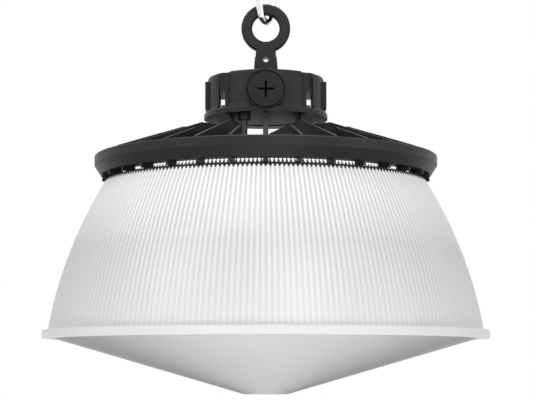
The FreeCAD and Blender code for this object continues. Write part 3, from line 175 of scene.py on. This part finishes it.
def surface(name, dark, light, rough, grain=900.0, bump=0.0, metallic=0.0, specular=0.5,
            blotch=18.0):
    """Surface with a broad drift of colour, a fine grain and, where asked, a bump."""
    material, tree, shader = nodes_of(name)
    place = tree.nodes.new("ShaderNodeTexCoord")
    broad = noise(tree, place, blotch, 2.0)
    fine = noise(tree, place, grain)
    colour = ramp(tree, broad.outputs["Fac"], dark, light, 0.3, 0.7)
    tree.links.new(colour.outputs["Color"], shader.inputs["Base Color"])
    tree.links.new(spread(tree, fine.outputs["Fac"], rough - ROUGH_DRIFT, rough + ROUGH_DRIFT),
                   shader.inputs["Roughness"])
    shader.inputs["Metallic"].default_value = metallic
    shader.inputs["Specular IOR Level"].default_value = specular
    if bump:
        raised = tree.nodes.new("ShaderNodeBump")
        raised.inputs["Strength"].default_value = bump
        raised.inputs["Distance"].default_value = BUMP_HEIGHT
        tree.links.new(fine.outputs["Fac"], raised.inputs["Height"])
        tree.links.new(raised.outputs["Normal"], shader.inputs["Normal"])
    return material


def axes_of(tree, place):
    """The point's X, Y and Z in the object's own metres."""
    parts = tree.nodes.new("ShaderNodeSeparateXYZ")
    tree.links.new(place.outputs["Object"], parts.inputs["Vector"])
    return parts.outputs["X"], parts.outputs["Y"], parts.outputs["Z"]


def arithmetic(tree, operation, first, second=0.0):
    """One step of arithmetic on two numbers, each a socket or a plain value."""
    node = tree.nodes.new("ShaderNodeMath")
    node.operation = operation
    for place, value in enumerate((first, second)):
        if isinstance(value, bpy.types.NodeSocket):
            tree.links.new(value, node.inputs[place])
        else:
            node.inputs[place].default_value = value
    return node.outputs["Value"]


def between(tree, value, low, high):
    """0 at the low end of a range of values, 1 at its high end."""
    node = tree.nodes.new("ShaderNodeMapRange")
    node.inputs["From Min"].default_value = low
    node.inputs["From Max"].default_value = high
    tree.links.new(value, node.inputs["Value"])
    return node.outputs["Result"]


def blend(tree, factor, low, high):
    """Colour between two others, each a socket or a plain colour."""
    node = tree.nodes.new("ShaderNodeMix")
    node.data_type = "RGBA"
    tree.links.new(factor, node.inputs["Factor"])
    for name, value in (("A", low), ("B", high)):
        if isinstance(value, bpy.types.NodeSocket):
            tree.links.new(value, node.inputs[name])
        else:
            node.inputs[name].default_value = value
    return node.outputs["Result"]


def groove_of(tree, across, deep):
    """1 along the middle of each groove between two flutes, 0 on the ridges."""
    turn = arithmetic(tree, "ARCTAN2", deep, across)
    wave = arithmetic(tree, "COSINE", arithmetic(tree, "MULTIPLY", turn, float(FLUTES)))
    return between(tree, wave, -1.0, 1.0)


def fluted_plastic(shoulder, foot):
    """Clear ribbed plastic: bright, with painted light and shade: tone by height, shaded grooves, a
    painted reflection of the dark rim along its top and glowing collar teeth.
    """
    material, tree, shader = nodes_of("clear_fluted_plastic")
    place = tree.nodes.new("ShaderNodeTexCoord")
    across, deep, level = axes_of(tree, place)
    groove = groove_of(tree, across, deep)
    # Painted light: the bell's tone is painted by height, from the foot tone through a darker
    # middle to a much lighter top
    body = tree.nodes.new("ShaderNodeValToRGB")
    stops = body.color_ramp.elements
    stops[0].position = 0.0
    stops[0].color = grey(BELL_FOOT_TONE)
    stops[1].position = 1.0
    stops[1].color = grey(BELL_TOP_TONE)
    middle = stops.new(0.5)
    middle.color = grey(BELL_MIDDLE_TONE)
    height = between(tree, level, foot, shoulder)
    tree.links.new(height, body.inputs["Fac"])
    # Painted shade: each groove between two flutes is darkened towards black, less at the foot than
    # at the top
    deeper = spread(tree, height, FOOT_GROOVE_SHARE * GROOVE_SHADE, GROOVE_SHADE)
    dark = arithmetic(tree, "MULTIPLY", groove, deeper)
    painted_groove_tone = blend(tree, dark, body.outputs["Color"], grey(0.0))
    # Painted reflection: a dark band with teeth down the grooves, just below the bell's top edge,
    # stands for the black rim seen in the clear plastic
    below_edge = arithmetic(tree, "SUBTRACT", shoulder, level)
    reach = spread(tree, groove, PAINTED_RIM_BAND, PAINTED_RIM_BAND + PAINTED_RIM_TEETH)
    rim = arithmetic(tree, "LESS_THAN", below_edge, reach)
    outside = arithmetic(tree, "LESS_THAN", level, shoulder + PAINTED_RIM_TOP)
    shown = blend(tree, arithmetic(tree, "MULTIPLY", rim, outside), painted_groove_tone, grey(PAINTED_RIM_TONE))
    # Painted light: the collar's teeth between the grooves glow by emission, standing for light
    # through the clear plastic; they are no lamp
    collar = arithmetic(tree, "GREATER_THAN", level, shoulder + TOOTH_START)
    wide = between(tree, level, shoulder + TOOTH_TIP, shoulder + TOOTH_HEIGHT)
    tooth = arithmetic(tree, "LESS_THAN", groove, wide)
    lit = arithmetic(tree, "MULTIPLY", collar, tooth)
    shader.inputs["Emission Color"].default_value = grey(1.0)
    tree.links.new(arithmetic(tree, "MULTIPLY", lit, TOOTH_PAINTED_GLOW),
                   shader.inputs["Emission Strength"])
    tree.links.new(shown, shader.inputs["Base Color"])
    fine = noise(tree, place, 420.0)
    tree.links.new(spread(tree, fine.outputs["Fac"], 0.34, 0.46), shader.inputs["Roughness"])
    shader.inputs["IOR"].default_value = 1.5
    return material


def cone_satin():
    """Satin plastic that turns to a dark gloss where it curves away: painted shade, darker towards
    the cone's sides.
    """
    material, tree, shader = nodes_of("satin_opal")
    place = tree.nodes.new("ShaderNodeTexCoord")
    broad = noise(tree, place, 16.0, 2.0)
    pale = ramp(tree, broad.outputs["Fac"], grey(0.78), grey(0.81), 0.3, 0.7)
    facing = tree.nodes.new("ShaderNodeLayerWeight")
    facing.inputs["Blend"].default_value = 0.5
    gloss = tree.nodes.new("ShaderNodeBsdfPrincipled")
    gloss.inputs["Base Color"].default_value = grey(CONE_SIDE_SHADE_TONE)
    gloss.inputs["Roughness"].default_value = 0.28
    gloss.inputs["Specular IOR Level"].default_value = 0.3
    mixed = tree.nodes.new("ShaderNodeMixShader")
    tree.links.new(pale.outputs["Color"], shader.inputs["Base Color"])
    fine = noise(tree, place, 700.0)
    tree.links.new(spread(tree, fine.outputs["Fac"], 0.40, 0.50), shader.inputs["Roughness"])
    # Painted shade: the mix turns the cone to a dark gloss towards its sides
    tree.links.new(between(tree, facing.outputs["Facing"], CONE_FRONT, CONE_SIDE),
                   mixed.inputs["Fac"])
    tree.links.new(shader.outputs["BSDF"], mixed.inputs[1])
    tree.links.new(gloss.outputs["BSDF"], mixed.inputs[2])
    tree.links.new(mixed.outputs["Shader"], tree.nodes["Material Output"].inputs["Surface"])
    return material


def mesh_object(name, points, faces, material, smooth=True):
    """New mesh in the scene with one material."""
    mesh = bpy.data.meshes.new(name)
    mesh.from_pydata([tuple(point) for point in points], [], faces)
    mesh.validate()
    mesh.update()
    made = bpy.data.objects.new(name, mesh)
    bpy.context.scene.collection.objects.link(made)
    made.data.materials.append(material)
    if smooth:
        for face in mesh.polygons:
            face.use_smooth = True
    return made


def bell_line(foot, shoulder, rows):
    """Points (radius, level) of the bell, an arc that bows inward."""
    chord = math.hypot(shoulder[0] - foot[0], shoulder[1] - foot[1])
    lean = math.atan2(shoulder[1] - foot[1], shoulder[0] - foot[0])
    half = math.asin(chord / 2 / BELL_BOW)
    inward = lean + math.pi / 2
    back = BELL_BOW * math.cos(half)
    middle_radius = (foot[0] + shoulder[0]) / 2 + back * math.cos(inward)
    middle_level = (foot[1] + shoulder[1]) / 2 + back * math.sin(inward)
    line = []
    for row in range(rows + 1):
        angle = inward + math.pi + half * (2 * row / rows - 1)
        line.append((middle_radius + BELL_BOW * math.cos(angle),
                     middle_level + BELL_BOW * math.sin(angle)))
    return line


def flute(column):
    """How far the surface lies in from its ridges, from 0 to 1."""
    across = 2.0 * (column % FLUTE_COLUMNS) / FLUTE_COLUMNS - 1.0
    return across * across


def ring_of(radius, level, depth, columns):
    """Points once round the axis, in to the flute depth between ridges."""
    ring = []
    for column in range(columns):
        angle = 2 * math.pi * column / columns
        reach = radius - depth * flute(column)
        ring.append((reach * math.cos(angle), reach * math.sin(angle), level))
    return ring


def turned_shell(name, profile, columns, material):
    """Closed shell from a loop of (radius, level, flute depth)."""
    points = []
    for radius, level, depth in profile:
        points += ring_of(radius, level, depth, columns)
    faces = []
    count = len(profile)
    for row in range(count):
        low = row * columns
        high = ((row + 1) % count) * columns
        for column in range(columns):
            beside = (column + 1) % columns
            faces.append((low + column, low + beside, high + beside, high + column))
    made = mesh_object(name, points, faces, material)
    sharpen(made)
    return made


def sharpen(made):
    """Keeps steep edges sharp under smooth shading."""
    bpy.context.view_layer.objects.active = made
    made.select_set(True)
    bpy.ops.object.shade_smooth_by_angle(angle=SHARP_ANGLE)
    made.select_set(False)


def make_reflector(material):
    """Bell with its flutes, foot and collar, as one closed shell."""
    low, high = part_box("reflector")
    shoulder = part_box("heat_sink")[0][2]
    band_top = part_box("closing_band")[1][2]
    foot_level = low[2]
    foot_split = foot_level + FOOT_SPLIT * (band_top - foot_level)
    foot_top = band_top - BAND_PLAY
    rim = high[0]
    collar_inside = COLLAR_RADIUS - COLLAR_FLUTE_DEPTH - BELL_WALL
    ceiling = shoulder - BELL_WALL
    line = bell_line((FOOT_RADIUS, band_top), (SHOULDER_RADIUS, shoulder), BELL_ROWS)
    depths = [FOOT_FLUTE_DEPTH + (FLUTE_DEPTH - FOOT_FLUTE_DEPTH) * row / BELL_ROWS
              for row in range(BELL_ROWS + 1)]
    profile = [(FOOT_RADIUS - BELL_WALL, foot_level, 0.0), (rim, foot_level, 0.0),
               (rim, foot_split, 0.0), (rim, foot_top, 0.0),
               (FOOT_RADIUS + BAND_PLAY, foot_top, 0.0)]
    profile += [(radius, level, depth) for (radius, level), depth in zip(line, depths)]
    profile += [(SHOULDER_RADIUS - SHOULDER_LEDGE, shoulder, 0.0),
                (COLLAR_RADIUS, shoulder, COLLAR_FLUTE_DEPTH),
                (COLLAR_RADIUS, high[2], COLLAR_FLUTE_DEPTH),
                (collar_inside, high[2], 0.0), (collar_inside, ceiling, 0.0)]
    profile += [(radius - BELL_WALL, min(level, ceiling), 0.0)
                for radius, level in reversed(line[::4])]
    made = turned_shell("fluted_reflector", profile, FLUTES * FLUTE_COLUMNS, material)
    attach(made, "root")
    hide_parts("reflector")
    return made


def link_line():
    """Centre line of the link in its own plane, from the foot bend round."""
    low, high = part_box("hang_link")
    foot = low[2] + LINK_BAR + LINK_FOOT_RADIUS
    head = foot + LINK_LENGTH
    lean = math.asin((LINK_HEAD_RADIUS - LINK_FOOT_RADIUS) / LINK_LENGTH)
    line = []
    bend = LINK_STEPS // 2
    for step in range(bend + 1):
        angle = -lean + (math.pi + 2 * lean) * step / bend
        line.append((LINK_HEAD_RADIUS * math.cos(angle), head + LINK_HEAD_RADIUS * math.sin(angle)))
    for step in range(bend + 1):
        angle = math.pi + lean + (math.pi - 2 * lean) * step / bend
        line.append((LINK_FOOT_RADIUS * math.cos(angle), foot + LINK_FOOT_RADIUS * math.sin(angle)))
    return line


def make_link(material):
    """Closed ring of round bar along the link's centre line."""
    line = link_line()
    count = len(line)
    points = []
    flat = Vector((math.cos(LINK_TURN), math.sin(LINK_TURN), 0.0))
    along = Vector((-math.sin(LINK_TURN), math.cos(LINK_TURN), 0.0))
    for index, (reach, level) in enumerate(line):
        before = line[index - 1]
        after = line[(index + 1) % count]
        run = math.hypot(after[0] - before[0], after[1] - before[1])
        out = Vector(((after[1] - before[1]) / run, -(after[0] - before[0]) / run))
        for side in range(LINK_SIDES):
            angle = 2 * math.pi * side / LINK_SIDES
            radial = LINK_BAR * math.cos(angle)
            place = along * (reach + radial * out.x) + flat * (LINK_BAR * math.sin(angle))
            points.append((place.x, place.y, level + radial * out.y))
    faces = []
    for row in range(count):
        low = row * LINK_SIDES
        high = ((row + 1) % count) * LINK_SIDES
        for side in range(LINK_SIDES):
            beside = (side + 1) % LINK_SIDES
            faces.append((low + side, low + beside, high + beside, high + side))
    made = mesh_object("steel_link", points, faces, material)
    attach(made, "root")
    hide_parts("hang_link")
    return made


def make_cross_slot_shade(material):
    """Near-black sheet in the cross slot of the plug's head: painted shade of the slot's depth."""
    low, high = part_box("sensor_port_plug")
    level = (low[2] + high[2]) / 2
    back = low[1] + CROSS_DEPTH
    points = []
    faces = []
    for half_across, half_up in ((CROSS_HALF_LENGTH, CROSS_HALF_WIDTH),
                                 (CROSS_HALF_WIDTH, CROSS_HALF_LENGTH)):
        start = len(points)
        for depth in (back, back - CROSS_SHADE_SHEET):
            for across, up in ((-1, -1), (1, -1), (1, 1), (-1, 1)):
                points.append((across * half_across, depth, level + up * half_up))
        faces.append([start, start + 3, start + 2, start + 1])
        faces.append([start + 4, start + 5, start + 6, start + 7])
        for side in range(4):
            beside = (side + 1) % 4
            faces.append([start + side, start + beside, start + 4 + beside, start + 4 + side])
    made = mesh_object("cross_slot_painted_shade", points, faces, material, smooth=False)
    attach(made, "root")
    return made


def dress(node, material, bevel=0.0):
    """Gives a CAD node its material and, where asked, softened edges."""
    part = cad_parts[node]
    part.data.materials.clear()
    part.data.materials.append(material)
    if bevel:
        soft = part.modifiers.new("soft_edges", "BEVEL")
        soft.width = bevel
        soft.segments = SOFT_STEPS
        soft.limit_method = "ANGLE"
        soft.angle_limit = SOFT_ANGLE


def make_lamp(name, place, aim_level, across, up, power):
    """Rectangular lamp that faces a point on the light's axis."""
    lamp = bpy.data.lights.new(name, "AREA")
    lamp.shape = "RECTANGLE"
    lamp.size = across
    lamp.size_y = up
    lamp.energy = power
    made = bpy.data.objects.new(name, lamp)
    made.location = place
    facing = Vector((0.0, 0.0, aim_level)) - Vector(place)
    made.rotation_euler = facing.to_track_quat("-Z", "Y").to_euler()
    bpy.context.scene.collection.objects.link(made)


def make_floor(material):
    """Round pale floor below the light."""
    points = [(0.0, 0.0, FLOOR_LEVEL)]
    for ring in range(1, FLOOR_RINGS + 1):
        reach = FLOOR_HALF * ring / FLOOR_RINGS
        for side in range(FLOOR_SIDES):
            angle = 2 * math.pi * side / FLOOR_SIDES
            points.append((reach * math.cos(angle), reach * math.sin(angle), FLOOR_LEVEL))
    faces = [(0, 1 + side, 1 + (side + 1) % FLOOR_SIDES) for side in range(FLOOR_SIDES)]
    for ring in range(FLOOR_RINGS - 1):
        low = 1 + ring * FLOOR_SIDES
        high = low + FLOOR_SIDES
        for side in range(FLOOR_SIDES):
            beside = (side + 1) % FLOOR_SIDES
            faces.append((low + side, high + side, high + beside, low + beside))
    floor = mesh_object("floor", points, faces, material, smooth=False)


def make_world():
    """White where the camera, a gloss or a glass looks; a plain level for light."""
    world = bpy.data.worlds.new("studio")
    bpy.context.scene.world = world
    world.use_nodes = True
    tree = world.node_tree
    background = tree.nodes["Background"]
    background.inputs["Color"].default_value = grey(1.0)
    path = tree.nodes.new("ShaderNodeLightPath")
    seen = arithmetic(tree, "MAXIMUM", path.outputs["Is Camera Ray"],
                      path.outputs["Is Glossy Ray"])
    seen = arithmetic(tree, "MAXIMUM", seen, path.outputs["Is Transmission Ray"])
    tree.links.new(spread(tree, seen, AMBIENT, 1.0), background.inputs["Strength"])


def make_camera():
    """Camera in front of the light, a little above its tip and tilted up."""
    lens = bpy.data.cameras.new("camera")
    lens.lens = CAMERA_LENS
    lens.sensor_width = CAMERA_SENSOR
    lens.clip_end = CAMERA_REACH
    made = bpy.data.objects.new("camera", lens)
    made.location = (CAMERA_SIDE, -CAMERA_BACK, cad_box[0][2] + CAMERA_RISE)
    made.rotation_euler = (math.pi / 2 + CAMERA_TILT, 0.0, 0.0)
    bpy.context.scene.collection.objects.link(made)
    bpy.context.scene.camera = made


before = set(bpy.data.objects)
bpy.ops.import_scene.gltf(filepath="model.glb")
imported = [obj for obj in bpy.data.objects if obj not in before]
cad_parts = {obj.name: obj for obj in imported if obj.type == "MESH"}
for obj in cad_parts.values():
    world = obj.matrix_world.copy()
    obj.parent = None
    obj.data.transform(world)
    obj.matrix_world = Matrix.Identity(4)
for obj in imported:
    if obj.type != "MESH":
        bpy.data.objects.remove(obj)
cad_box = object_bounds()

make_camera()
casting = surface("black_powder_coat", grey(0.010), grey(0.014), 0.44, bump=0.25,
                  specular=0.22)
chrome = surface("chromed_steel", grey(0.80), grey(0.86), 0.14, metallic=1.0)
zinc = surface("zinc_screw", (0.60, 0.60, 0.58, 1), (0.70, 0.70, 0.68, 1), 0.30, metallic=1.0)
white = surface("white_band_paint", grey(0.65), grey(0.68), 0.26, bump=0.05, specular=0.2)
opal = cone_satin()
black_zinc = surface("black_zinc_screw", grey(0.030), grey(0.045), 0.30, metallic=0.6)
rubber = surface("seal_rubber", grey(0.010), grey(0.014), 0.65)
foam = surface("foam_seal", grey(0.66), grey(0.74), 0.8, bump=0.5)
plastic = surface("black_plastic", grey(0.008), grey(0.012), 0.34, bump=0.1, specular=0.22)
board_white = surface("board_white", grey(0.80), grey(0.84), 0.40)
chip = surface("phosphor_chip", (0.85, 0.60, 0.10, 1), (0.88, 0.66, 0.14, 1), 0.35)
clear = surface("clear_window", (0.90, 0.92, 0.93, 1), (0.93, 0.95, 0.96, 1), 0.08)
green = surface("board_green", (0.010, 0.10, 0.035, 1), (0.014, 0.13, 0.045, 1), 0.35)
winding = surface("winding_tape", (0.55, 0.36, 0.03, 1), (0.62, 0.42, 0.05, 1), 0.40)
sleeve = surface("can_sleeve", (0.012, 0.018, 0.05, 1), (0.018, 0.025, 0.07, 1), 0.30)
terminal = surface("terminal_green", (0.02, 0.20, 0.06, 1), (0.03, 0.25, 0.08, 1), 0.40)
sheath = surface("lead_sheath", grey(0.014), grey(0.020), 0.48)

shoulder_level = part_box("heat_sink")[0][2]
band_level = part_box("closing_band")[1][2]
make_reflector(fluted_plastic(shoulder_level, band_level))
make_link(chrome)
# Painted shade: a near-black sheet laid in the plug's cross slot
make_cross_slot_shade(surface("slot_shade", grey(0.001), grey(0.002), 0.8, specular=0.05))

for material, bevel, names in (
        (casting, CASTING_EDGE, ("heat_sink", "driver_floor", "driver_cover", "hook_eye")),
        (black_zinc, 0.0, ("housing_screws",)),
        (zinc, 0.0, ("window_screws", "reflector_screws", "band_screw", "band_nut",
                     "board_standoffs", "eye_nut", "eye_washer")),
        (rubber, 0.0, ("housing_gasket", "window_gasket", "port_seal", "inlet_gland_seal")),
        (plastic, MOULDED_EDGE, ("sensor_port_plug", "lead_gland", "inlet_gland",
                                 "inlet_gland_nut")),
        (sheath, 0.0, ("lamp_lead",)),
        (white, MOULDED_EDGE, ("closing_band",)),
        (foam, 0.0, ("lens_seal",)),
        (opal, 0.0, ("drop_lens",)),
        (board_white, 0.0, ("light_board",)),
        (chip, 0.0, ("light_chips",)),
        (clear, 0.0, ("led_window",)),
        (green, 0.0, ("driver_board",)),
        (winding, 0.0, ("transformer",)),
        (sleeve, 0.0, ("capacitors",)),
        (terminal, 0.0, ("terminal_block",))):
    for node in names:
        dress(node, material, bevel)

make_floor(surface("pale_floor", grey(0.78), grey(0.80), 0.7, grain=60.0, blotch=2.0))
make_world()
for lamp in LAMPS:
    make_lamp(*lamp)

bpy.context.scene.view_settings.view_transform = "Standard"
